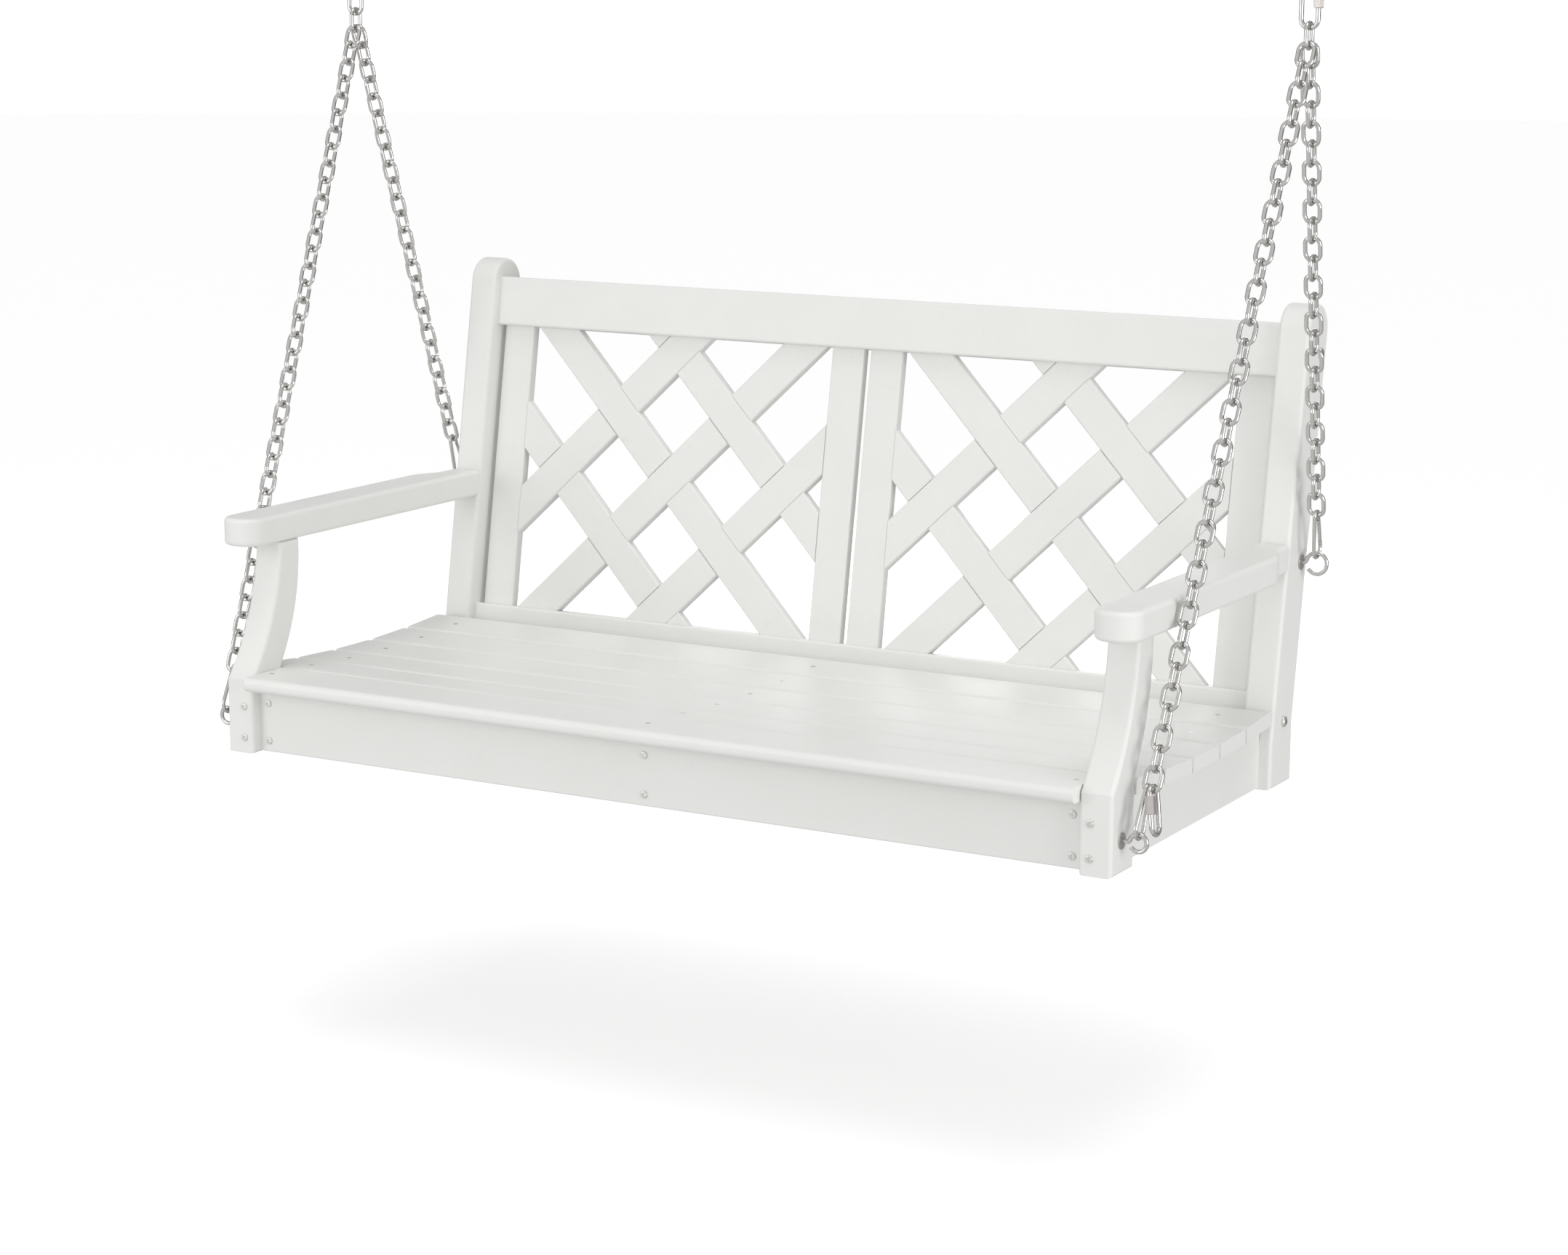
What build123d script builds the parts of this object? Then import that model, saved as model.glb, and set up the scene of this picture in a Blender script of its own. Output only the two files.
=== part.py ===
"""Two-seat porch swing: a plastic-lumber bench with a lattice back, hung by four chains.

Millimetres. X to the sitter's left-right, Y to the back, Z up.
The origin is midway between the two ceiling hooks, where they bear in the top quick links.
Profiles are drawn in the seat's own coordinates: y from the front of the legs, z from their feet.
"""
import os
from math import asin, atan2, cos, degrees, hypot, radians, sin, sqrt, tan

from build123d import *

os.makedirs("parts", exist_ok=True)

# ---------------------------------------------------------------- driving dimensions
# frame
overall_width = 1270.0      # over the outer faces of the legs and posts
leg_thick = 41.5            # legs and posts, along X
leg_depth = 63.5            # lower block of the front leg, along Y
knee_height = 98.0          # where the front leg starts to sweep back
leg_top_front = 67.0        # front edge of the leg under the arm
leg_top_back = 108.5        # back edge of the leg under the arm
leg_front_bow = (44.5, 173.5)   # a point on the concave front curve
leg_back_bow = (95.0, 172.0)    # a point on the rounded back curve
frame_edge = 5.0            # eased edges of legs and posts

# back
back_lean = 9.4             # degrees from upright
back_foot_set = 24.5        # back's middle plane at foot level, behind the post's front
post_depth = 67.0           # across the lean
post_rise = 27.36           # rounded post top above the top rail's upper end
post_seat_gap = 1.0         # post's front behind the last seat slat
post_foot_depth = 71.5
rail_depth = 41.5           # top and bottom rails, across the lean
rail_width = 68.5
rail_bottom_low = 49.5      # lower edge of the bottom rail, along the lean
panel_height = 399.0        # between the two rails
rail_edge = 3.5
panel_thick = 16.0          # stiles and lattice
stile_width = 48.3
stile_gap = 10.4            # between the two middle stiles
post_stile_gap = 7.2
panel_edge = 2.6
lattice_width = 48.0
lattice_pitch = 128.5       # across the strips
lap_play = 0.15

# seat
slat_pitch = 84.7
slat_gap = 2.3
slat_thick = 19.0
slat_count = 6
nose_overhang = 18.0        # front slat past the front of the legs
seat_front_height = 86.5    # underside of the front slats
seat_rear_height = 85.0
seat_dip = 10.0             # hollow of the seat at its middle
slat_round = 6.5
nose_round = 8.0            # front edge of the front slat
slat_soft = 2.0
apron_thick = 19.0
front_apron_setback = 15.0
apron_foot = 2.0            # aprons stop this far above the feet
side_apron_thick = 22.0
side_apron_inset = 16.5     # from the outer face of leg and post
support_thick = 25.0
support_inset = 56.0        # middle of an outer seat support, from the frame's outer face
board_edge = 2.5
joint_play = 0.4            # between a board's end and the piece beside it

# arms
arm_bottom = 272.0
arm_thick = 37.0
arm_front = 9.0
arm_overhang = 18.5         # outer edge past the outer face of leg and post
arm_nose_round = 27.0
arm_taper_before = 52.5     # the outer edge starts to draw in this far before the post's foot
arm_taper_past = 8.5        # and meets the post's outer face this far past its front
arm_edge = 6.0
arm_rim_reach = 8.0         # rims whose middle is further back than this stay sharp

# screws and bolts
screw_head_d = 9.4
screw_head_h = 1.9
screw_recess = 5.0
screw_d = 4.2
leg_screw_length = 92.0
apron_screw_length = 42.0
leg_screw_heights = (21.0, 62.5)
apron_screw_heights = (17.0, 67.0)
slat_screw_head_d = 6.8
slat_screw_head_h = 1.6
slat_screw_recess = 3.6
slat_screw_d = 3.6
slat_screw_length = 31.0
slat_screw_sink = 0.3       # below the slat's face
head_play = 0.4             # all round a sunk screw head
head_round = 0.6            # screw head's rounding and recess depth, shares of its height
recess_arms = 4.0           # cross recess, length over width
point_taper = 0.35          # chamfer of a screw's tip, share of its diameter
bolt_head_d = 14.0
bolt_head_h = 4.4
bolt_socket = 6.0
bolt_d = 6.0
bolt_length = 85.0
bolt_round = 0.75           # head's rounding, share of its height
bolt_socket_depth = 0.6     # share of the head's height
top_bolt_back = 10.0        # behind the rail's middle

# screw eyes
ring_wire = 5.4
front_ring_radius = 10.5    # to the middle of the wire
rear_ring_radius = 13.6
ring_reach = 21.0           # ring centre from the outer face
eye_bend_radius = 5.0
eye_shank_depth = 34.0
eye_open_angle = 214.0      # where the open end of the ring stops, from +X
front_eye_y = 27.0
front_eye_z = 40.0
rear_eye_set = 82.5         # rear eyes behind the front of the post's foot
rear_eye_z = 281.0
washer_d = 20.0
washer_thick = 1.6
washer_round = 0.4          # share of its thickness
washer_play = 0.3

# chains
chain_wire = 5.5
link_inner_length = 24.3
link_inner_width = 13.8
front_links = 37            # odd, from the snap hook up to the shared top link
rear_links = 25
top_link_aside = 2.85       # the two chains lie side by side in the shared link

# snap hooks
hook_wire = 5.0
hook_inner_length = 58.0
hook_wide_radius = 11.5     # to the middle of the wire
hook_narrow_radius = 6.0
hook_aside = 4.0            # front hooks sit aside in their link, to leave room for a spare one
ring_play = 0.15            # between a hook and the leaning ring it hangs in
gate_wire = 4.8
gate_top_stub = 5.0         # fixed wire left above the gate, below the narrow end
gate_nose_stub = 5.5        # and below it, above the wide end
gate_gap = 0.4
gate_pin_d = 1.6
gate_pin_play = 0.05
tang_thick = 1.7
tang_width = 3.4
tang_play = 0.2
fork_play = 0.5             # the fork is cut past the gate's sides by this

# quick links
quick_wire = 6.0
quick_inner_length = 50.0
quick_inner_width = 15.0
sleeve_flats = 11.2
sleeve_length = 22.0
sleeve_travel = 12.5
sleeve_chamfer = 0.9
sleeve_play = 0.06          # all round the wire
sleeve_end_gap = 0.4        # from the end of the straight wire
wire_break = 7.0            # gap in the wire that the sleeve bridges
break_from_end = 8.5        # its middle, from the end of the straight wire
link_play = 0.35            # between pieces that move on each other
spare_aside = 3.5           # spare quick link, to the outer side of its chain
spare_hang = 7.2            # its wire above the wire that it hangs on
spare_splay = 10.0          # degrees that it leans outwards, off the snap hook

# hanging
hang_outset = 57.0          # ceiling hooks outside the outer faces of the frame

# ---------------------------------------------------------------- derived sizes
half_width = overall_width / 2
inner_x = half_width - leg_thick
lean = radians(back_lean)
seat_start = leg_depth + 0.5
contour_length = (slat_count - 1) * slat_pitch
slat_width = slat_pitch - slat_gap
post_foot_front = seat_start + contour_length + post_seat_gap
post_foot_back = post_foot_front + post_foot_depth
back_foot_y = post_foot_front + back_foot_set
rear_eye_y = post_foot_front + rear_eye_set
arm_taper_start = post_foot_front - arm_taper_before
arm_taper_end = post_foot_front + arm_taper_past
arm_outer = half_width + arm_overhang
support_x = half_width - support_inset
hang_x = half_width + hang_outset
rail_bottom_high = rail_bottom_low + rail_width
rail_top_low = rail_bottom_high + panel_height
post_top = (rail_top_low + rail_width) * cos(lean) + post_rise
post_round = post_depth / 2
seat_top = seat_front_height + slat_thick


def middle_y(z):
    """Middle plane of the back at height z."""
    return back_foot_y + z * tan(lean)


def seat_height(y):
    """Underside of the seat slats at depth y: level at the front, a shallow hollow behind."""
    if y <= seat_start:
        return seat_front_height
    t = (y - seat_start) / contour_length
    straight = seat_front_height + (seat_rear_height - seat_front_height) * t
    return straight - 4 * seat_dip * t * (1 - t)


def nest(ring_inner_width, wire, aside, play=0.0):
    """How far past the centre of a round end a wire settles when it is pushed aside in it."""
    free = ring_inner_width / 2 - wire / 2 - play
    return sqrt(free**2 - aside**2)


link_mean_radius = (link_inner_width + chain_wire) / 2
link_end_centre = link_inner_width / 2      # from the inner end of a link to its round centre
quick_mean_radius = (quick_inner_width + quick_wire) / 2

# each side's shared link hangs on the bowed wire of its quick link, which is the swing axis
shared_low_end = quick_wire / 2 + link_play - link_inner_length
shared_low_centre = shared_low_end + link_end_centre
top_wire_drop = -shared_low_centre + nest(link_inner_width, chain_wire, top_link_aside)

# a front hook pushed aside in its link lets the link down a little
hook_drop = {"front": link_end_centre - nest(link_inner_width, hook_wire, hook_aside) - hook_wire / 2,
             "rear": 0.0}
aside = {"front": hook_aside, "rear": 0.0}
chain_links = {"front": front_links, "rear": rear_links}
ring_radius = {"front": front_ring_radius, "rear": rear_ring_radius}
eye_y = {"front": front_eye_y, "rear": rear_eye_y}
eye_z = {"front": front_eye_z, "rear": rear_eye_z}
top_aside = {"front": -top_link_aside, "rear": top_link_aside}
ring_x = half_width + ring_reach


def taut_reach(end):
    """From the middle of the ring's top wire to that of the chain's top wire, in side view."""
    length = (hook_inner_length - ring_wire / 2 - ring_play - hook_drop[end]
              + chain_links[end] * link_inner_length + chain_wire / 2)
    return sqrt(length**2 - (hang_x - ring_x - aside[end]) ** 2)


# the two chains of a side meet in their shared link
base_y = eye_y["rear"] - eye_y["front"] - 2 * top_link_aside
base_z = eye_z["rear"] + ring_radius["rear"] - eye_z["front"] - ring_radius["front"]
base = hypot(base_y, base_z)
along = (taut_reach("front") ** 2 - taut_reach("rear") ** 2 + base**2) / (2 * base)
across = sqrt(taut_reach("front") ** 2 - along**2)
hang_y = eye_y["front"] + top_link_aside + (along * base_y - across * base_z) / base
top_wire_z = eye_z["front"] + ring_radius["front"] + (along * base_z + across * base_y) / base
axis_z = top_wire_z + top_wire_drop
bow_centre_z = axis_z + quick_mean_radius
hang_z = bow_centre_z - quick_inner_width / 2 + quick_inner_length


# ---------------------------------------------------------------- work planes
def side_plane(x):
    """Profile plane: local x is seat depth, local y is height; extrudes towards +X."""
    return Plane(origin=(x, -hang_y, -hang_z), x_dir=(0, 1, 0), z_dir=(1, 0, 0))


def front_plane(y):
    """Faces the front: local x is X, local y is height; extrudes towards the front."""
    return Plane(origin=(0, y - hang_y, -hang_z), x_dir=(1, 0, 0), z_dir=(0, -1, 0))


def top_plane(z):
    """Faces up: local x is X, local y is seat depth."""
    return Plane(origin=(0, -hang_y, z - hang_z), x_dir=(1, 0, 0), z_dir=(0, 0, 1))


def back_plane(forward):
    """Leaning plane of the back: local x is X, local y runs up the lean."""
    return Plane(
        origin=(0, back_foot_y - forward * cos(lean) - hang_y, forward * sin(lean) - hang_z),
        x_dir=(1, 0, 0),
        z_dir=(0, -cos(lean), sin(lean)),
    )


def seat_point(x, y, z):
    return Vector(x, y - hang_y, z - hang_z)


def front_face(x, y, z):
    """A plane on a front face, for a screw driven towards the back."""
    return Plane(origin=seat_point(x, y, z), x_dir=(1, 0, 0), z_dir=(0, -1, 0))


def side_face(side, y, z):
    """A plane on the outer face of a leg or post, for what is driven towards the middle."""
    return Plane(origin=seat_point(side * half_width, y, z), x_dir=(0, 1, 0), z_dir=(side, 0, 0))


def back_place(up_lean, forward=0.0):
    """Depth and height of a point given up the lean and forward of the back's middle plane."""
    y = back_foot_y + up_lean * sin(lean) - forward * cos(lean)
    z = up_lean * cos(lean) + forward * sin(lean)
    return y, z


def drill(planes, diameter, depth):
    """Sink a round hole into the part being built, down from each plane."""
    for plane in planes:
        with BuildSketch(plane) as mouth:
            Circle(diameter / 2)
        extrude(mouth.sketch, amount=-depth, mode=Mode.SUBTRACT)


# ---------------------------------------------------------------- where the fasteners go
sides = (("left", -1), ("right", 1))
spare_sides = sides[1:]     # only the right front chain carries a spare quick link
ends = ("front", "rear")
support_rows = (-support_x, 0, support_x)
leg_screw_x = half_width - side_apron_inset - side_apron_thick / 2
leg_screw_planes = [front_face(side * leg_screw_x, 0, z)
                    for _, side in sides for z in leg_screw_heights]
apron_screw_planes = [front_face(x, front_apron_setback, z)
                      for x in support_rows for z in apron_screw_heights]

# middle of each slat's underside, and its tilt; the front slat is fixed into the apron
slat_seats = [(front_apron_setback + apron_thick / 2, seat_front_height, 0.0)]
for k in range(slat_count - 1):
    low_y = seat_start + k * slat_pitch
    high_y = low_y + slat_pitch
    rise = seat_height(high_y) - seat_height(low_y)
    slat_seats.append(((low_y + high_y) / 2, (seat_height(low_y) + seat_height(high_y)) / 2,
                       atan2(rise, slat_pitch)))
screw_seat_rise = slat_thick - slat_screw_head_h - slat_screw_sink


def slat_screw_plane(x, y, z, tilt):
    """Seat of a sunk screw head, square to a slat's face."""
    normal = Vector(0, -sin(tilt), cos(tilt))
    return Plane(origin=seat_point(x, y, z) + normal * screw_seat_rise, x_dir=(1, 0, 0), z_dir=normal)


slat_screw_planes = [[slat_screw_plane(x, *seat) for x in support_rows] for seat in slat_seats]
all_slat_screw_planes = [plane for row in slat_screw_planes for plane in row]

bolt_places = (back_place(rail_bottom_low + rail_width / 2),
               back_place(rail_top_low + rail_width / 2, -top_bolt_back))
bolt_planes = [side_face(side, y, z) for _, side in sides for y, z in bolt_places]
eye_planes = {(end, side): side_face(side, eye_y[end], eye_z[end]) for end in ends for _, side in sides}


def save(shape, name):
    shape.label = name
    export_step(shape, f"parts/{name}.step")


# ---------------------------------------------------------------- legs and posts
def outer_start(side, thick, inset=0.0):
    """Lower X of a board whose outer face is inset from the outer face of the frame."""
    return half_width - inset - thick if side > 0 else -half_width + inset


for label, side in sides:
    with BuildPart() as leg:
        with BuildSketch(side_plane(outer_start(side, leg_thick))):
            with BuildLine():
                Polyline((leg_depth, seat_top), (leg_depth, 0), (0, 0), (0, knee_height))
                ThreePointArc((0, knee_height), leg_front_bow, (leg_top_front, arm_bottom))
                Line((leg_top_front, arm_bottom), (leg_top_back, arm_bottom))
                ThreePointArc((leg_top_back, arm_bottom), leg_back_bow, (leg_depth, seat_top))
            make_face()
        extrude(amount=leg_thick)
        fillet(leg.edges().filter_by(Axis.X, reverse=True), frame_edge)
        drill(leg_screw_planes, screw_d, leg_screw_length)
        drill([eye_planes["front", side]], ring_wire, eye_shank_depth)
    save(leg.part, f"leg_{label}")

    with BuildPart() as post:
        with BuildSketch(side_plane(outer_start(side, leg_thick))):
            centre_z = post_top - post_round
            half_across = post_round / cos(lean)
            front_bend = (post_foot_front - back_foot_y + half_across) / tan(lean)
            back_bend = (post_foot_back - back_foot_y - half_across) / tan(lean)
            centre = (middle_y(centre_z), centre_z)
            front_tangent = (centre[0] - post_round * cos(lean), centre_z + post_round * sin(lean))
            back_tangent = (centre[0] + post_round * cos(lean), centre_z - post_round * sin(lean))
            crown = (centre[0] + post_round * sin(lean), centre_z + post_round * cos(lean))
            with BuildLine():
                Polyline(back_tangent, (post_foot_back, back_bend), (post_foot_back, 0),
                         (post_foot_front, 0), (post_foot_front, front_bend), front_tangent)
                ThreePointArc(front_tangent, crown, back_tangent)
            make_face()
        extrude(amount=leg_thick)
        fillet(post.edges().filter_by(Axis.X, reverse=True), frame_edge)
        drill(bolt_planes, bolt_d, bolt_length)
        drill([eye_planes["rear", side]], ring_wire, eye_shank_depth)
    save(post.part, f"post_{label}")

# ---------------------------------------------------------------- arms
for label, side in sides:
    with BuildPart() as arm:
        with BuildSketch(top_plane(arm_bottom)):
            mid_y = (arm_taper_start + arm_taper_end) / 2
            mid_x = side * (arm_outer + half_width) / 2
            arm_end = middle_y(arm_bottom + arm_thick) + post_depth
            with BuildLine():
                Line((side * inner_x, arm_end), (side * inner_x, arm_front))
                Line((side * inner_x, arm_front), (side * arm_outer, arm_front))
                Line((side * arm_outer, arm_front), (side * arm_outer, arm_taper_start))
                Spline((side * arm_outer, arm_taper_start), (mid_x, mid_y),
                       (side * half_width, arm_taper_end), tangents=((0, 1), (0, 1)))
                Line((side * half_width, arm_taper_end), (side * half_width, arm_end))
                Line((side * half_width, arm_end), (side * inner_x, arm_end))
            make_face()
        extrude(amount=arm_thick)
        corners = arm.edges().filter_by(Axis.Z).group_by(Axis.Y)[0]
        fillet(corners, arm_nose_round)
        # the rear end is cut to the lean of the post's front face
        with BuildSketch(back_plane(post_depth / 2)):
            with Locations((side * half_width, arm_bottom)):
                Rectangle(overall_width, overall_width)
        extrude(amount=-overall_width / 2, mode=Mode.SUBTRACT)
        rims = arm.faces().sort_by(Axis.Z)[-1].edges() + arm.faces().sort_by(Axis.Z)[0].edges()
        fillet([edge for edge in rims if edge.center().Y < middle_y(arm_bottom) - post_depth / 2
                - hang_y + arm_rim_reach], arm_edge)
    save(arm.part, f"arm_{label}")

# ---------------------------------------------------------------- aprons and seat supports
with BuildPart() as front_apron:
    with BuildSketch(front_plane(front_apron_setback)):
        with Locations((0, (apron_foot + seat_front_height) / 2)):
            Rectangle(2 * inner_x, seat_front_height - apron_foot)
    extrude(amount=-apron_thick)
    fillet(front_apron.edges().filter_by(Axis.X), board_edge)
    drill(apron_screw_planes, screw_d, apron_screw_length)
    drill(slat_screw_planes[0], slat_screw_d, slat_screw_length)
save(front_apron.part, "front_apron")

contour = [(seat_start + k * slat_pitch, seat_height(seat_start + k * slat_pitch))
           for k in range(slat_count)]


def contoured_board(x, thick, front_y, back_y):
    """A board under the slats: flat foot, top cut to the flats that the slats lie on."""
    with BuildPart() as board:
        with BuildSketch(side_plane(x)):
            inner = [point for point in contour if front_y < point[0] < back_y]
            last_height = seat_height(contour[-1][0])
            with BuildLine():
                Polyline((front_y, apron_foot), (front_y, seat_height(front_y)), *inner,
                         (back_y, last_height), (back_y, apron_foot), close=True)
            make_face()
        extrude(amount=thick)
        drill(leg_screw_planes, screw_d, leg_screw_length)
        drill(apron_screw_planes, screw_d, apron_screw_length)
        drill(all_slat_screw_planes, slat_screw_d, slat_screw_length)
    return board.part


support_front = front_apron_setback + apron_thick
support_back = back_place(rail_bottom_low, rail_depth / 2)[0] - joint_play
for label, side in sides:
    save(contoured_board(outer_start(side, side_apron_thick, side_apron_inset),
                         side_apron_thick, leg_depth, post_foot_front), f"side_apron_{label}")
    save(contoured_board(side * support_x - support_thick / 2, support_thick,
                         support_front, support_back), f"seat_support_{label}")
save(contoured_board(-support_thick / 2, support_thick, support_front, support_back),
     "seat_support_centre")

# ---------------------------------------------------------------- seat slats
def drill_slat(number):
    """Screw holes with sunk seats through the slat being built."""
    planes = slat_screw_planes[number - 1]
    sunk = slat_screw_head_h + 2 * slat_screw_sink
    drill(planes, slat_screw_d, slat_screw_length)
    drill([plane.offset(sunk) for plane in planes], slat_screw_head_d + 2 * head_play, sunk)


nose_back = seat_start - slat_gap / 2
with BuildPart() as nose_slat:
    with BuildSketch(side_plane(-inner_x + joint_play)):
        with Locations(((nose_back - nose_overhang) / 2, seat_front_height + slat_thick / 2)):
            Rectangle(nose_back + nose_overhang, slat_thick)
    extrude(amount=2 * (inner_x - joint_play))
    nose_edges = nose_slat.edges().filter_by(Axis.X).group_by(Axis.Y)
    fillet(nose_edges[0], nose_round)
    fillet(nose_slat.edges().filter_by(Axis.X).group_by(Axis.Z)[-1].sort_by(Axis.Y)[-1:], slat_soft)
    drill_slat(1)
save(nose_slat.part, "seat_slat_1")

for number, (seat_y, seat_z, tilt) in enumerate(slat_seats[1:], 2):
    with BuildPart() as slat:
        with BuildSketch(side_plane(-half_width)):
            with Locations(Location((seat_y, seat_z, 0), (0, 0, degrees(tilt)))):
                Rectangle(slat_width, slat_thick, align=(Align.CENTER, Align.MIN))
        extrude(amount=overall_width)
        upper_edges = slat.edges().filter_by(Axis.X).sort_by(Axis.Z)[2:]
        fillet(upper_edges, slat_round)
        drill_slat(number)
    save(slat.part, f"seat_slat_{number}")

# ---------------------------------------------------------------- back rails and stiles
rail_length = 2 * inner_x
for name, low in (("back_bottom_rail", rail_bottom_low), ("back_top_rail", rail_top_low)):
    with BuildPart() as rail:
        with BuildSketch(back_plane(-rail_depth / 2)):
            with Locations((0, low + rail_width / 2)):
                Rectangle(rail_length, rail_width)
        extrude(amount=rail_depth)
        fillet(rail.edges().filter_by(Axis.X), rail_edge)
        drill(bolt_planes, bolt_d, bolt_length)
    save(rail.part, name)

panel_mid = rail_bottom_high + panel_height / 2
outer_stile_x = inner_x - post_stile_gap - stile_width / 2
inner_stile_x = stile_gap / 2 + stile_width / 2
for number, x in enumerate((-outer_stile_x, -inner_stile_x, inner_stile_x, outer_stile_x), 1):
    with BuildPart() as stile:
        with BuildSketch(back_plane(-panel_thick / 2)):
            with Locations((x, panel_mid)):
                Rectangle(stile_width, panel_height)
        extrude(amount=panel_thick)
        up_lean = stile.edges().filter_by(lambda e: abs(e.tangent_at(0).X) < 0.01
                                          and e.length > panel_height / 2)
        fillet(up_lean, panel_edge)
    save(stile.part, f"back_stile_{number}")

# ---------------------------------------------------------------- lattice
panel_width = outer_stile_x - inner_stile_x - stile_width
strip_length = panel_width + panel_height

def strip_centre(rank):
    """Foot of strip rank (0 nearest the top) on the panel's diagonal, from the panel's middle."""
    return (1 - rank) * lattice_pitch


def lattice_strip(centre_x, falling, rank):
    """One 45 degree strip, cut to the panel and halved where the other family crosses it."""
    turn = -45 if falling else 45
    normal = radians(turn + 90)
    shift = strip_centre(rank)
    foot = (centre_x + shift * cos(normal), panel_mid + shift * sin(normal))
    with BuildPart() as strip:
        with BuildSketch(back_plane(-panel_thick / 2)):
            with Locations(Location((foot[0], foot[1], 0), (0, 0, turn))):
                Rectangle(strip_length, lattice_width)
        extrude(amount=panel_thick)
        long_edges = strip.edges().filter_by(lambda e: e.length > strip_length / 2)
        fillet(long_edges, panel_edge)
        with BuildSketch(back_plane(-panel_thick)):
            with Locations((centre_x, panel_mid)):
                Rectangle(panel_width, panel_height)
        extrude(amount=2 * panel_thick, mode=Mode.INTERSECT)
        for other in range(3):
            # a basket weave: the falling strip is in front at every second crossing
            in_front = ((rank + other) % 2 == 1) == falling
            cross_turn = radians(90 - turn)
            cross_shift = strip_centre(other)
            centre = (foot[0] + cross_shift * cos(cross_turn), foot[1] + cross_shift * sin(cross_turn))
            start = -panel_thick if in_front else 0.0
            with BuildSketch(back_plane(start)):
                with Locations(Location((centre[0], centre[1], 0), (0, 0, turn))):
                    Rectangle(lattice_width + 2 * lap_play, lattice_width + 2 * panel_edge)
            extrude(amount=panel_thick, mode=Mode.SUBTRACT)
    return strip.part


strip_names = {0: "upper", 1: "middle", 2: "lower"}
for label, side in sides:
    centre_x = side * (outer_stile_x + inner_stile_x) / 2
    for falling in (True, False):
        for rank in range(3):
            family = "falling" if falling else "rising"
            save(lattice_strip(centre_x, falling, rank),
                 f"lattice_{label}_{family}_{strip_names[rank]}")

# ---------------------------------------------------------------- screws and bolts
def placed_copies(solids, planes):
    """Each solid moved from the XY plane to its own plane, kept apart in one group."""
    return Compound([solid.solid().moved(plane.location) for solid, plane in zip(solids, planes)])


def pan_screw(head_d, head_h, shank_d, length, recess_d):
    """Pan head screw along -Z, its head resting on the XY plane, with a cross recess."""
    with BuildPart() as screw:
        with BuildSketch(Plane.XY):
            Circle(head_d / 2)
        extrude(amount=head_h)
        fillet(screw.edges().sort_by(Axis.Z)[-1], head_h * head_round)
        with BuildSketch(Plane.XY):
            Circle(shank_d / 2)
        extrude(amount=-length)
        chamfer(screw.edges().sort_by(Axis.Z)[0], shank_d * point_taper)
        with BuildSketch(Plane.XY.offset(head_h)):
            Rectangle(recess_d, recess_d / recess_arms)
            Rectangle(recess_d / recess_arms, recess_d)
        extrude(amount=-head_h * head_round, mode=Mode.SUBTRACT)
    return screw.part


leg_screw = pan_screw(screw_head_d, screw_head_h, screw_d, leg_screw_length, screw_recess)
apron_screw = pan_screw(screw_head_d, screw_head_h, screw_d, apron_screw_length, screw_recess)
save(placed_copies([leg_screw] * len(leg_screw_planes) + [apron_screw] * len(apron_screw_planes),
                   leg_screw_planes + apron_screw_planes), "frame_screws")

slat_screw = pan_screw(slat_screw_head_d, slat_screw_head_h, slat_screw_d, slat_screw_length,
                       slat_screw_recess)
save(placed_copies([slat_screw] * len(all_slat_screw_planes), all_slat_screw_planes), "slat_screws")

with BuildPart() as bolt:
    with BuildSketch(Plane.XY):
        Circle(bolt_head_d / 2)
    extrude(amount=bolt_head_h)
    fillet(bolt.edges().sort_by(Axis.Z)[-1], bolt_head_h * bolt_round)
    with BuildSketch(Plane.XY):
        Circle(bolt_d / 2)
    extrude(amount=-bolt_length)
    with BuildSketch(Plane.XY.offset(bolt_head_h)):
        RegularPolygon(bolt_socket / 2, 6)
    extrude(amount=-bolt_head_h * bolt_socket_depth, mode=Mode.SUBTRACT)
save(placed_copies([bolt.part] * len(bolt_planes), bolt_planes), "post_bolts")

# ---------------------------------------------------------------- screw eyes and washers
def across_plane(x, y, z, side):
    """Faces the front or back: local x points away from the swing's middle, local y up."""
    return Plane(origin=seat_point(x, y, z), x_dir=(side, 0, 0), z_dir=(0, -side, 0))


def screw_eye(end, side):
    """A ring bent from its own shank, its open end short of the shank."""
    radius = ring_radius[end]
    plane = across_plane(side * ring_x, eye_y[end], eye_z[end], side)
    bend_x = -sqrt(radius**2 + 2 * radius * eye_bend_radius)
    bend_end = atan2(eye_bend_radius, bend_x)
    tip_x = -ring_reach - eye_shank_depth
    tip = plane.from_local_coords((tip_x, 0, 0))
    bend_start = plane.from_local_coords((bend_x, 0, 0))
    bend_centre = plane.from_local_coords((bend_x, eye_bend_radius, 0))
    touch = plane.from_local_coords((radius * cos(bend_end), radius * sin(bend_end), 0))
    outwards = (touch - plane.origin).normalized()
    with BuildPart() as eye:
        with BuildSketch(Plane(origin=tip, x_dir=plane.y_dir, z_dir=plane.x_dir)):
            Circle(ring_wire / 2)
        extrude(amount=bend_x - tip_x)
        # the bend rises out of the shank, and the ring runs on from it the other way round
        with BuildSketch(Plane(origin=bend_start, x_dir=plane.y_dir, z_dir=plane.x_dir)):
            Circle(ring_wire / 2)
        revolve(axis=Axis(bend_centre, plane.z_dir), revolution_arc=degrees(bend_end) - 90)
        with BuildSketch(Plane(origin=touch, x_dir=outwards, z_dir=outwards.cross(plane.z_dir))):
            Circle(ring_wire / 2)
        revolve(axis=Axis(plane.origin, -plane.z_dir),
                revolution_arc=degrees(bend_end) + 360 - eye_open_angle)
    return eye.part.solid()


save(Compound([screw_eye(end, side) for _, side in sides for end in ends]), "screw_eyes")

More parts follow.
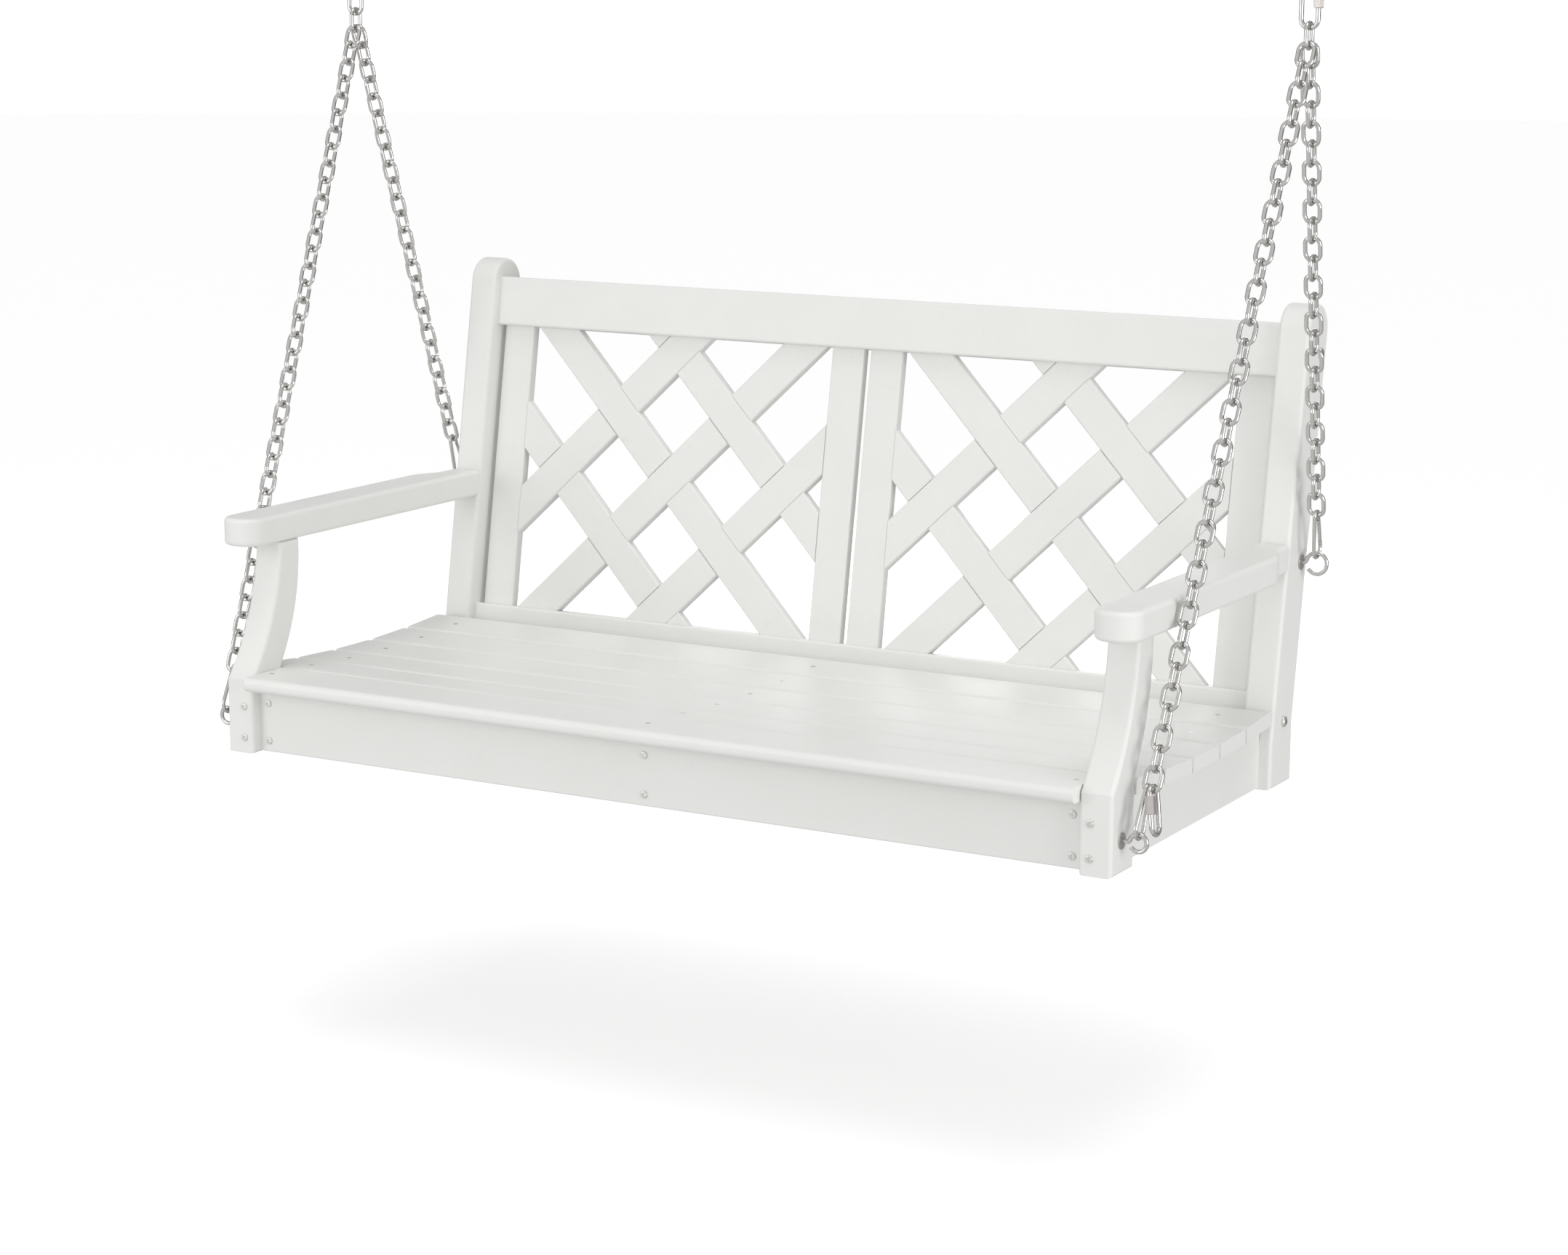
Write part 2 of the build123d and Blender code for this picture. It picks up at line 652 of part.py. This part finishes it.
with BuildPart() as washer:
    with BuildSketch(Plane.XY):
        Circle(washer_d / 2)
        Circle(ring_wire / 2 + washer_play, mode=Mode.SUBTRACT)
    extrude(amount=washer_thick)
    fillet(washer.edges().group_by(Axis.Z)[-1].sort_by(SortBy.RADIUS)[-1], washer_thick * washer_round)
save(placed_copies([washer.part] * len(eye_planes), eye_planes.values()), "eye_washers")

# ---------------------------------------------------------------- chains, hooks and quick links
def stadium_ring(wire, inner_length, inner_width, break_length=0.0, break_middle=0.0):
    """A long ring of round wire in the XY plane, long along Y, centred; broken on its +X limb."""
    radius = (inner_width + wire) / 2
    straight = (inner_length - inner_width) / 2
    with BuildPart() as ring:
        if break_length:
            low = break_middle - break_length / 2
            high = break_middle + break_length / 2
            with BuildLine():
                Line((radius, high), (radius, straight))
                RadiusArc((radius, straight), (-radius, straight), -radius)
                Line((-radius, straight), (-radius, -straight))
                RadiusArc((-radius, -straight), (radius, -straight), -radius)
                Line((radius, -straight), (radius, low))
            start = (radius, high, 0)
        else:
            with BuildLine():
                Line((radius, -straight), (radius, straight))
                RadiusArc((radius, straight), (-radius, straight), -radius)
                Line((-radius, straight), (-radius, -straight))
                RadiusArc((-radius, -straight), (radius, -straight), -radius)
            start = (radius, -straight, 0)
        with BuildSketch(Plane(origin=start, x_dir=(1, 0, 0), z_dir=(0, 1, 0))):
            Circle(wire / 2)
        sweep()
    return ring.part


def chain_frame(end, side):
    """Foot, direction and sideways normal of a chain's line, from hook to top link."""
    foot = seat_point(side * (ring_x + aside[end]), eye_y[end], eye_z[end] + ring_radius[end])
    top = seat_point(side * hang_x, hang_y + top_aside[end], top_wire_z)
    up = (top - foot).normalized()
    outward = Vector(side, 0, 0)
    outward = (outward - up * outward.dot(up)).normalized()
    return foot, up, outward


chain_link = stadium_ring(chain_wire, link_inner_length, link_inner_width)
first_link_at = {end: hook_inner_length - ring_wire / 2 - ring_play - hook_drop[end]
                 for end in ends}
for label, side in sides:
    for end in ends:
        foot, up, outward = chain_frame(end, side)
        through = up.cross(outward)
        places = []
        for k in range(chain_links[end]):
            middle = foot + up * (first_link_at[end] + (k + 0.5) * link_inner_length)
            # links lie across the swing and along it by turns
            flat = outward if k % 2 == 0 else through
            places.append(Plane(origin=middle, x_dir=flat, z_dir=flat.cross(up)))
        save(placed_copies([chain_link] * len(places), places), f"chain_{end}_{label}")
shared_middle_z = axis_z + shared_low_end + link_inner_length / 2
shared_planes = [Plane(origin=seat_point(side * hang_x, hang_y, shared_middle_z), x_dir=(0, 1, 0),
                       z_dir=(-1, 0, 0)) for _, side in sides]
save(placed_copies([chain_link] * 2, shared_planes), "chain_top_links")


# snap hook outline in its own plane: x towards the gate, y up the chain, from the wide end's centre
hook_span = hook_inner_length + hook_wire - hook_wide_radius - hook_narrow_radius
hook_taper = asin((hook_wide_radius - hook_narrow_radius) / hook_span)
tangent_way = Vector(cos(hook_taper), sin(hook_taper))
wide_tangent = tangent_way * hook_wide_radius
narrow_tangent = tangent_way * hook_narrow_radius + Vector(0, hook_span)
gate_way = Vector(sin(hook_taper), -cos(hook_taper))      # down the gate
gate_top = narrow_tangent + gate_way * gate_top_stub
gate_foot = wide_tangent - gate_way * gate_nose_stub
pin_point = gate_top + gate_way * (gate_wire / 2 + gate_gap)
gate_length = (gate_foot - pin_point).length - gate_gap


def flipped(point):
    return Vector(-point.X, point.Y)


with BuildPart() as hook:
    with BuildLine():
        Line(gate_foot, wide_tangent)
        ThreePointArc(wide_tangent, (0, -hook_wide_radius), flipped(wide_tangent))
        Line(flipped(wide_tangent), flipped(narrow_tangent))
        ThreePointArc(flipped(narrow_tangent), (0, hook_span + hook_narrow_radius), narrow_tangent)
        Line(narrow_tangent, gate_top)
    with BuildSketch(Plane(origin=gate_foot, x_dir=(0, 0, 1), z_dir=gate_way)):
        Circle(hook_wire / 2)
    sweep()
    # a flat tongue that the forked gate straddles
    tongue_plane = Plane(origin=pin_point, x_dir=-gate_way, z_dir=(0, 0, 1))
    with BuildSketch(tongue_plane.offset(-tang_thick / 2)):
        Circle(tang_width / 2)
        with Locations((gate_wire / 2, 0)):
            Rectangle(gate_wire, tang_width)
        Circle(gate_pin_d / 2, mode=Mode.SUBTRACT)
    extrude(amount=tang_thick)

with BuildPart() as gate:
    with BuildSketch(Plane(origin=pin_point - gate_way * gate_wire / 2, x_dir=(0, 0, 1),
                           z_dir=gate_way)):
        Circle(gate_wire / 2)
    extrude(amount=gate_length + gate_wire / 2)
    # the forked end is rounded about its pin
    with BuildSketch(tongue_plane.offset(-gate_wire)):
        Circle(gate_wire / 2)
        with Locations((-gate_length / 2, 0)):
            Rectangle(gate_length, gate_wire)
    extrude(amount=2 * gate_wire, mode=Mode.INTERSECT)
    with BuildSketch(tongue_plane.offset(-tang_thick / 2 - tang_play)):
        Circle(tang_width / 2 + gate_gap)
        with Locations((gate_wire / 2, 0)):
            Rectangle(gate_wire, gate_wire + 2 * fork_play)
        Rectangle(tang_width + 2 * gate_gap, gate_wire + 2 * fork_play)
    extrude(amount=tang_thick + 2 * tang_play, mode=Mode.SUBTRACT)
    drill([tongue_plane.offset(gate_wire)], gate_pin_d + 2 * gate_pin_play, 2 * gate_wire)

with BuildPart() as gate_pin:
    with BuildSketch(tongue_plane.offset(-gate_wire / 2)):
        Circle(gate_pin_d / 2)
    extrude(amount=gate_wire)


def hook_plane(end, side):
    """Plane of a snap hook: x towards the back, y up the chain, origin in its wide end."""
    foot, up, outward = chain_frame(end, side)
    backward = up.cross(outward) * side
    low = hook_wide_radius - hook_wire / 2 - ring_wire / 2 - ring_play
    origin = foot - outward * aside[end] + up * low
    return Plane(origin=origin, x_dir=backward, z_dir=backward.cross(up))


hook_planes = {(end, label): hook_plane(end, side) for label, side in sides for end in ends}
save(placed_copies([hook.part] * 4, hook_planes.values()), "snap_hooks")
save(placed_copies([gate_pin.part] * 4, hook_planes.values()), "gate_pins")
for (end, label), plane in hook_planes.items():
    save(placed_copies([gate.part], [plane]), f"hook_gate_{end}_{label}")

# quick links: a broken ring closed by a hexagonal sleeve
quick_half_straight = (quick_inner_length - quick_inner_width) / 2
sleeve_middle = quick_half_straight - sleeve_end_gap - sleeve_length / 2
quick_link = stadium_ring(quick_wire, quick_inner_length, quick_inner_width, wire_break,
                          quick_half_straight - break_from_end)
sleeve_foot = Plane(origin=(quick_mean_radius, sleeve_middle - sleeve_length / 2, 0),
                    x_dir=(1, 0, 0), z_dir=(0, 1, 0))
with BuildPart() as sleeve:
    with BuildSketch(sleeve_foot):
        RegularPolygon(sleeve_flats / 2, 6, major_radius=False)
    extrude(amount=sleeve_length)
    chamfer(sleeve.edges().filter_by(Axis.Y, reverse=True), sleeve_chamfer)
    with BuildSketch(sleeve_foot):
        Circle(quick_wire / 2 + sleeve_play)
    extrude(amount=sleeve_length, mode=Mode.SUBTRACT)

top_planes = {}
for label, side in sides:
    top_planes[label] = across_plane(side * hang_x, hang_y, bow_centre_z + quick_half_straight, side)
    save(placed_copies([sleeve.part], [top_planes[label]]), f"top_sleeve_{label}")
save(placed_copies([quick_link] * 2, top_planes.values()), "top_quick_links")

# a spare quick link hangs beside the front hook, its centre of mass below where it hangs
link_mass = quick_link.volume
sleeve_mass = sleeve.part.volume
balance = (quick_link.center(CenterOf.MASS) * link_mass
           + sleeve.part.center(CenterOf.MASS) * sleeve_mass) / (link_mass + sleeve_mass)
top_arc_centre = Vector(0, quick_half_straight)
hang_way = (top_arc_centre - Vector(balance.X, balance.Y)).normalized()
hang_local = top_arc_centre + hang_way * (quick_mean_radius - spare_hang)
spare_planes = {}
for label, side in spare_sides:
    foot, up, outward = chain_frame("front", side)
    end_centre = foot + up * (first_link_at["front"] + link_end_centre)
    drop = sqrt(link_mean_radius**2 - spare_aside**2)
    pivot = end_centre + outward * spare_aside - up * drop
    splay = radians(spare_splay)
    # local x of the link lies towards the front, turned until it hangs in balance
    rise = Vector(-side * sin(splay), 0, cos(splay))
    ahead = Vector(0, -1, 0)
    turn = atan2(hang_way.X, hang_way.Y)
    link_x = ahead * cos(turn) - rise * sin(turn)
    link_y = rise * cos(turn) + ahead * sin(turn)
    origin = pivot - link_x * hang_local.X - link_y * hang_local.Y
    spare_planes[label] = Plane(origin=origin, x_dir=link_x, z_dir=link_x.cross(link_y))
    save(placed_copies([quick_link], [spare_planes[label]]), f"spare_quick_link_{label}")
    save(placed_copies([sleeve.part], [spare_planes[label]]), f"spare_sleeve_{label}")
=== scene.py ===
import math

import bpy
from mathutils import Matrix, Vector


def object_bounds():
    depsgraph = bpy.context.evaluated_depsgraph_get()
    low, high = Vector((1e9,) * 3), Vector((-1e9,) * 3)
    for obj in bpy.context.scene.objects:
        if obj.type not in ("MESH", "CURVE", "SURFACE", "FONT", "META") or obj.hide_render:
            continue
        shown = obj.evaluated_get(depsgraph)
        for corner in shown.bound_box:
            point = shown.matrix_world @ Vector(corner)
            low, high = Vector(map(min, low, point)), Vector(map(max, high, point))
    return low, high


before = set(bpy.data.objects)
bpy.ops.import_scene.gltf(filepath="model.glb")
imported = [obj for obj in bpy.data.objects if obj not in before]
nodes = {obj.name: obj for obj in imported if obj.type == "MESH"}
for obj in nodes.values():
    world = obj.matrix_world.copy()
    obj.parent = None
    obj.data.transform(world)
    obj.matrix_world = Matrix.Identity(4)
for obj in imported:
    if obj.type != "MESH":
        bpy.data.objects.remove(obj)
cadLow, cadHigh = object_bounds()
print("frame loaded with", len(nodes), "nodes")


class Wire:
    # a shader socket that takes part in plain arithmetic
    def __init__(self, graph, socket):
        self.graph = graph
        self.socket = socket

    def work(self, operation, other):
        return self.graph.add("ShaderNodeMath", {"operation": operation}, {0: self, 1: other})[0]

    def __add__(self, other):
        return self.work("ADD", other)

    def __mul__(self, other):
        return self.work("MULTIPLY", other)

    __radd__ = __add__
    __rmul__ = __mul__


class Graph:
    # a node tree and the ways its nodes are made
    def __init__(self, tree):
        self.tree = tree
        self.coordinates = self.add("ShaderNodeTexCoord")
        self.place = self.coordinates["Object"]

    def add(self, kind, settings=None, values=None):
        node = self.tree.nodes.new(kind)
        for name, value in (settings or {}).items():
            if name == "stops":
                while len(node.color_ramp.elements) < len(value):
                    node.color_ramp.elements.new(0.5)
                for element, (position, level) in zip(node.color_ramp.elements, value):
                    element.position = position
                    element.color = (level, level, level, 1)
            else:
                setattr(node, name, value)
        for name, value in (values or {}).items():
            if isinstance(value, Wire):
                self.tree.links.new(value.socket, node.inputs[name])
            else:
                node.inputs[name].default_value = value
        wires = [Wire(self, output) for output in node.outputs]
        outputs = {wire.socket.name: wire for wire in wires}
        outputs.update(enumerate(wires))
        return outputs

    def turned(self, angles, stretch):
        # object coordinates turned so that x runs along the grain, then stretched
        turn = self.add("ShaderNodeMapping", None, {"Vector": self.place, "Rotation": angles})
        return self.add("ShaderNodeMapping", None, {"Vector": turn["Vector"], "Scale": stretch})["Vector"]

    def noise(self, scale, detail=3.0, roughness=0.5, where=None):
        values = {"Vector": where or self.place, "Scale": scale, "Detail": detail, "Roughness": roughness}
        return self.add("ShaderNodeTexNoise", None, values)["Fac"]

    def ramp(self, wire, *stops):
        return self.add("ShaderNodeValToRGB", {"stops": stops}, {"Fac": wire})["Color"]

    def above(self, wire, band):
        # nothing below the band, all of it above, rising in between
        start, end = band
        return self.ramp(wire, (start, 0.0), (end, 1.0))

    def mixColor(self, factor, first, second):
        # a Mix node's colour sockets are 6 and 7, and its colour output is 2
        return self.add("ShaderNodeMix", {"data_type": "RGBA"}, {0: factor, 6: first, 7: second})[2]

    def bump(self, height, strength, distance, under=None):
        values = {"Height": height, "Strength": strength, "Distance": distance}
        if under:
            values["Normal"] = under
        return self.add("ShaderNodeBump", None, values)["Normal"]


class Finish(Graph):
    # one material: its shader, and what feeds it
    def __init__(self, name, constants):
        self.material = bpy.data.materials.new(name)
        self.material.use_nodes = True
        super().__init__(self.material.node_tree)
        self.shader = self.tree.nodes["Principled BSDF"]
        for socket, value in constants.items():
            self.shader.inputs[socket].default_value = value

    def feed(self, socket, wire):
        self.tree.links.new(wire.socket, self.shader.inputs[socket])


def colour(red, green, blue):
    # from the 0 to 255 of a paint card to linear light, by the usual display curve
    return tuple(((c / 255 + 0.055) / 1.055) ** 2.4 for c in (red, green, blue)) + (1,)


# plastic lumber: through-coloured white boards with a pebbled, faintly drawn skin
lumber = {
    "face": colour(232, 232, 230),
    "shade": colour(225, 225, 222),
    "scuff": colour(203, 202, 196),
    "ior": 1.49,
    "roughness": (0.42, 0.60),
    "grainLength": 0.09,
    "grainWidth": 0.0022,
    "grainDepth": 0.00016,
    "grainStrength": 0.5,
    "grainInTone": 0.3,
    "grainInRoughness": 0.4,
    "pebbleSize": 0.0016,
    "pebbleDepth": 0.00022,
    "pebbleStrength": 0.7,
    "mottleScale": 14.0,
    "fleckScale": 260.0,
    "fleckBand": (0.70, 0.76),
    "fleckShare": 0.25,
    "scuffScale": 38.0,
    "scuffBand": (0.62, 0.72),
    "scuffShare": 0.35,
    "scuffRoughness": 0.08,
    "dustScale": 5.0,
    "dustBand": (0.45, 0.75),
}


def makeLumber(name, angles):
    finish = Finish(name, {"IOR": lumber["ior"]})
    along, across = 1 / lumber["grainLength"], 1 / lumber["grainWidth"]
    grain = finish.noise(1.0, detail=4.0, roughness=0.6, where=finish.turned(angles, (along, across, across)))
    pebble = finish.noise(1 / lumber["pebbleSize"], detail=2.0, roughness=0.45)
    mottle = finish.noise(lumber["mottleScale"], detail=4.0, roughness=0.55)
    fleck = finish.above(finish.noise(lumber["fleckScale"], detail=2.0), lumber["fleckBand"])
    scuff = finish.above(finish.noise(lumber["scuffScale"], detail=6.0, roughness=0.7), lumber["scuffBand"])
    dust = finish.above(finish.noise(lumber["dustScale"], detail=3.0, roughness=0.6), lumber["dustBand"])
    grainTone = lumber["grainInTone"]
    tone = finish.mixColor(mottle * (1 - grainTone) + grain * grainTone, lumber["face"], lumber["shade"])
    tone = finish.mixColor(fleck * lumber["fleckShare"], tone, lumber["scuff"])
    tone = finish.mixColor(scuff * dust * lumber["scuffShare"], tone, lumber["scuff"])
    finish.feed("Base Color", tone)
    low, high = lumber["roughness"]
    grainRough = lumber["grainInRoughness"]
    skinRough = (1 - grainRough) * pebble + grainRough * grain
    finish.feed("Roughness", low + (high - low) * skinRough + scuff * lumber["scuffRoughness"])
    skin = finish.bump(grain, lumber["grainStrength"], lumber["grainDepth"])
    finish.feed("Normal", finish.bump(pebble, lumber["pebbleStrength"], lumber["pebbleDepth"], skin))
    return finish.material


# what all the steel shares: clouded tarnish, hairline scratches and specks
steel = {
    "cloudScale": 90.0,
    "tarnish": 0.35,
    "scratchAngles": (0.4, 0.3, 0.9),
    "scratchStretch": (300, 2600, 2600),
    "scratchStrength": 0.5,
    "scratchInRoughness": 0.4,
    "speckScale": 700.0,
    "speckBand": (0.62, 0.72),
    "speckShare": 0.3,
    "speckRoughness": 0.15,
}
# bright polished wire, for chains, hooks, eyes and quick links
wire = {
    "bright": colour(216, 215, 213),
    "dull": colour(158, 156, 152),
    "roughness": (0.05, 0.20),
    "scratchDepth": 0.00001,
}
# duller steel for sleeve nuts, washers and screws
sleeve = {
    "bright": colour(214, 209, 206),
    "dull": colour(176, 171, 168),
    "roughness": (0.24, 0.42),
    "scratchDepth": 0.00005,
}
washer = {
    "bright": colour(196, 194, 191),
    "dull": colour(150, 148, 145),
    "roughness": (0.32, 0.55),
    "scratchDepth": 0.00005,
}
screw = {
    "bright": colour(228, 227, 224),
    "dull": colour(182, 180, 176),
    "roughness": (0.20, 0.40),
    "scratchDepth": 0.00004,
}


def makeSteel(name, bright, dull, roughness, scratchDepth):
    finish = Finish(name, {"Metallic": 1.0})
    cloud = finish.noise(steel["cloudScale"], detail=4.0, roughness=0.6)
    lines = finish.turned(steel["scratchAngles"], steel["scratchStretch"])
    scratch = finish.noise(1.0, detail=3.0, roughness=0.6, where=lines)
    speck = finish.above(finish.noise(steel["speckScale"], detail=2.0), steel["speckBand"])
    wear = cloud * steel["tarnish"] + speck * steel["speckShare"]
    finish.feed("Base Color", finish.mixColor(wear, bright, dull))
    low, high = roughness
    scratchRough = steel["scratchInRoughness"]
    clouded = cloud * (1 - scratchRough) + scratch * scratchRough
    finish.feed("Roughness", low + (high - low) * clouded + speck * steel["speckRoughness"])
    finish.feed("Normal", finish.bump(scratch, steel["scratchStrength"], scratchDepth))
    return finish.material


quarter = math.pi / 2
eighth = math.pi / 4
lumberAcross = makeLumber("lumberAcross", (0, 0, 0))
lumberDeep = makeLumber("lumberDeep", (0, 0, -quarter))
lumberUpright = makeLumber("lumberUpright", (0, quarter, 0))
lumberFalling = makeLumber("lumberFalling", (0, -eighth, 0))
lumberRising = makeLumber("lumberRising", (0, eighth, 0))
brightSteel = makeSteel("brightSteel", **wire)
sleeveSteel = makeSteel("sleeveSteel", **sleeve)
washerSteel = makeSteel("washerSteel", **washer)
screwSteel = makeSteel("screwSteel", **screw)

# how a node's name starts, and its finish; the longest start wins, and the rest is bright steel
finishOf = {
    "leg_": lumberUpright, "post_": lumberUpright, "back_stile": lumberUpright,
    "arm_": lumberDeep, "side_apron": lumberDeep, "seat_support": lumberDeep,
    "seat_slat": lumberAcross, "front_apron": lumberAcross, "back_": lumberAcross,
    "lattice_left_falling": lumberFalling, "lattice_right_falling": lumberFalling,
    "lattice_left_rising": lumberRising, "lattice_right_rising": lumberRising,
    "frame_screws": screwSteel, "slat_screws": screwSteel, "post_bolts": screwSteel,
    "eye_washers": washerSteel, "top_sleeve": sleeveSteel, "spare_sleeve": sleeveSteel,
}


def dress(name, node):
    starts = sorted((start for start in finishOf if name.startswith(start)), key=len)
    node.data.materials.clear()
    node.data.materials.append(finishOf[starts[-1]] if starts else brightSteel)


for name, node in nodes.items():
    dress(name, node)
print("materials given to all nodes")

white = (1, 1, 1, 1)

# white paper below the hanging seat, a white wall far round it, and soft light
studio = {
    "floorBelow": 0.405,
    "floorSize": 60.0,
    "floorColour": colour(228, 228, 228),
    "floorRoughness": 0.95,
    "floorGlow": 0.35,
    "wallReach": 0.45,                  # its radius as a share of the floor's size
    "wallSides": 96,
    "wallColours": ((0, 0, 0, 1), (0.01, 0.01, 0.01, 1)),
    "wallFleckScale": 0.4,
    "wallRoughness": 1.0,
    "wallGlow": 1.0,
    "sky": 0.80,
    "skyLevels": ((0.30, 0.60), (0.46, 0.62), (0.50, 0.16), (0.60, 0.24), (0.71, 0.62)),
    "window": 0.94,
    "windowBand": (0.50, 0.72),
    "sun": 0.78,
    "sunPlace": (0, 0, 3),
    "sunSpread": math.radians(36),
    "sunTurn": (math.radians(8), math.radians(6), 0),
    "panels": (                         # name, place, size, power
        ("frontPanel", (-2.4, -3.8, -0.1), 2.4, 40),
        ("sidePanel", (3.6, -0.8, -0.5), 1.8, 44),
        ("backPanel", (-1.2, 4.0, 0.1), 2.4, 52),
    ),
}
floorHeight = cadLow.z - studio["floorBelow"]


def makeFloor():
    finish = Finish("floorPaper", {
        "Base Color": studio["floorColour"],
        "Roughness": studio["floorRoughness"],
        "Emission Color": white,
        "Emission Strength": studio["floorGlow"],
    })
    bpy.ops.object.select_all(action="DESELECT")
    bpy.ops.mesh.primitive_plane_add(size=studio["floorSize"], location=(0, 0, floorHeight))
    floor = bpy.context.object
    floor.name = "floor"
    bpy.ops.object.transform_apply(location=True)
    floor.data.materials.append(finish.material)
    floor.visible_diffuse = False       # its bounce would fill every gap and underside
    floor.visible_glossy = False


def makeBackdrop():
    # a round white wall that carries the paper up past the horizon and lets all light through
    finish = Finish("backdropPaper", {
        "Roughness": studio["wallRoughness"],
        "Emission Color": white,
        "Emission Strength": studio["wallGlow"],
    })
    finish.feed("Base Color", finish.mixColor(finish.noise(studio["wallFleckScale"]), *studio["wallColours"]))
    wallHeight = studio["floorSize"]
    bpy.ops.object.select_all(action="DESELECT")
    bpy.ops.mesh.primitive_cylinder_add(vertices=studio["wallSides"], end_fill_type="NOTHING",
                                        radius=studio["floorSize"] * studio["wallReach"], depth=wallHeight,
                                        location=(0, 0, floorHeight + wallHeight / 2))
    wall = bpy.context.object
    wall.name = "backdrop"
    bpy.ops.object.transform_apply(location=True)
    wall.data.materials.append(finish.material)
    wall.visible_diffuse = False
    wall.visible_glossy = False
    wall.visible_shadow = False


def makeSky():
    world = bpy.data.worlds.new("studioSky")
    world.use_nodes = True
    bpy.context.scene.world = world
    sky = Graph(world.node_tree)
    way = sky.add("ShaderNodeSeparateXYZ", None, {"Vector": sky.coordinates["Generated"]})
    # each direction runs from -1 to 1 and is halved and raised to run from 0 to 1:
    # dim round the swing with a bright ceiling over it, open to a bright window in front
    surround = sky.ramp(way["Z"] * 0.5 + 0.5, *studio["skyLevels"])
    window = sky.above(way["Y"] * -0.5 + 0.5, studio["windowBand"])
    light = sky.mixColor(window * studio["window"], surround, white)
    background = sky.tree.nodes["Background"]
    sky.tree.links.new(light.socket, background.inputs["Color"])
    background.inputs["Strength"].default_value = studio["sky"]


def makeLights():
    bpy.ops.object.light_add(type="SUN", location=studio["sunPlace"], rotation=studio["sunTurn"])
    sun = bpy.context.object
    sun.name = "softSun"
    sun.data.energy = studio["sun"]
    sun.data.angle = studio["sunSpread"]
    target = (cadLow + cadHigh) / 2
    for name, place, size, power in studio["panels"]:
        bpy.ops.object.light_add(type="AREA", location=place)
        panel = bpy.context.object
        panel.name = name
        panel.data.size = size
        panel.data.energy = power
        panel.rotation_euler = (target - Vector(place)).to_track_quat("-Z", "Y").to_euler()


# camera: in front of the right end, looking slightly down
view = {
    "place": (2.1621, -3.8556, 0.0326),
    "azimuth": math.radians(29.44),
    "elevation": math.radians(11.18),
    "roll": math.radians(0.24),
    "lens": 78.49,
    "sensor": 36.0,
}


def makeCamera():
    data = bpy.data.cameras.new("porchView")
    camera = bpy.data.objects.new("porchView", data)
    bpy.context.scene.collection.objects.link(camera)
    data.lens = view["lens"]
    data.sensor_width = view["sensor"]
    data.clip_end = studio["floorSize"]
    turn = Matrix.Rotation(view["azimuth"], 4, "Z")
    tilt = Matrix.Rotation(math.pi / 2 - view["elevation"], 4, "X")
    roll = Matrix.Rotation(view["roll"], 4, "Z")
    camera.matrix_world = Matrix.Translation(view["place"]) @ turn @ tilt @ roll
    bpy.context.scene.camera = camera


makeFloor()
makeBackdrop()
makeSky()
makeLights()
makeCamera()
bpy.context.scene.view_settings.view_transform = "Standard"
print("studio ready")
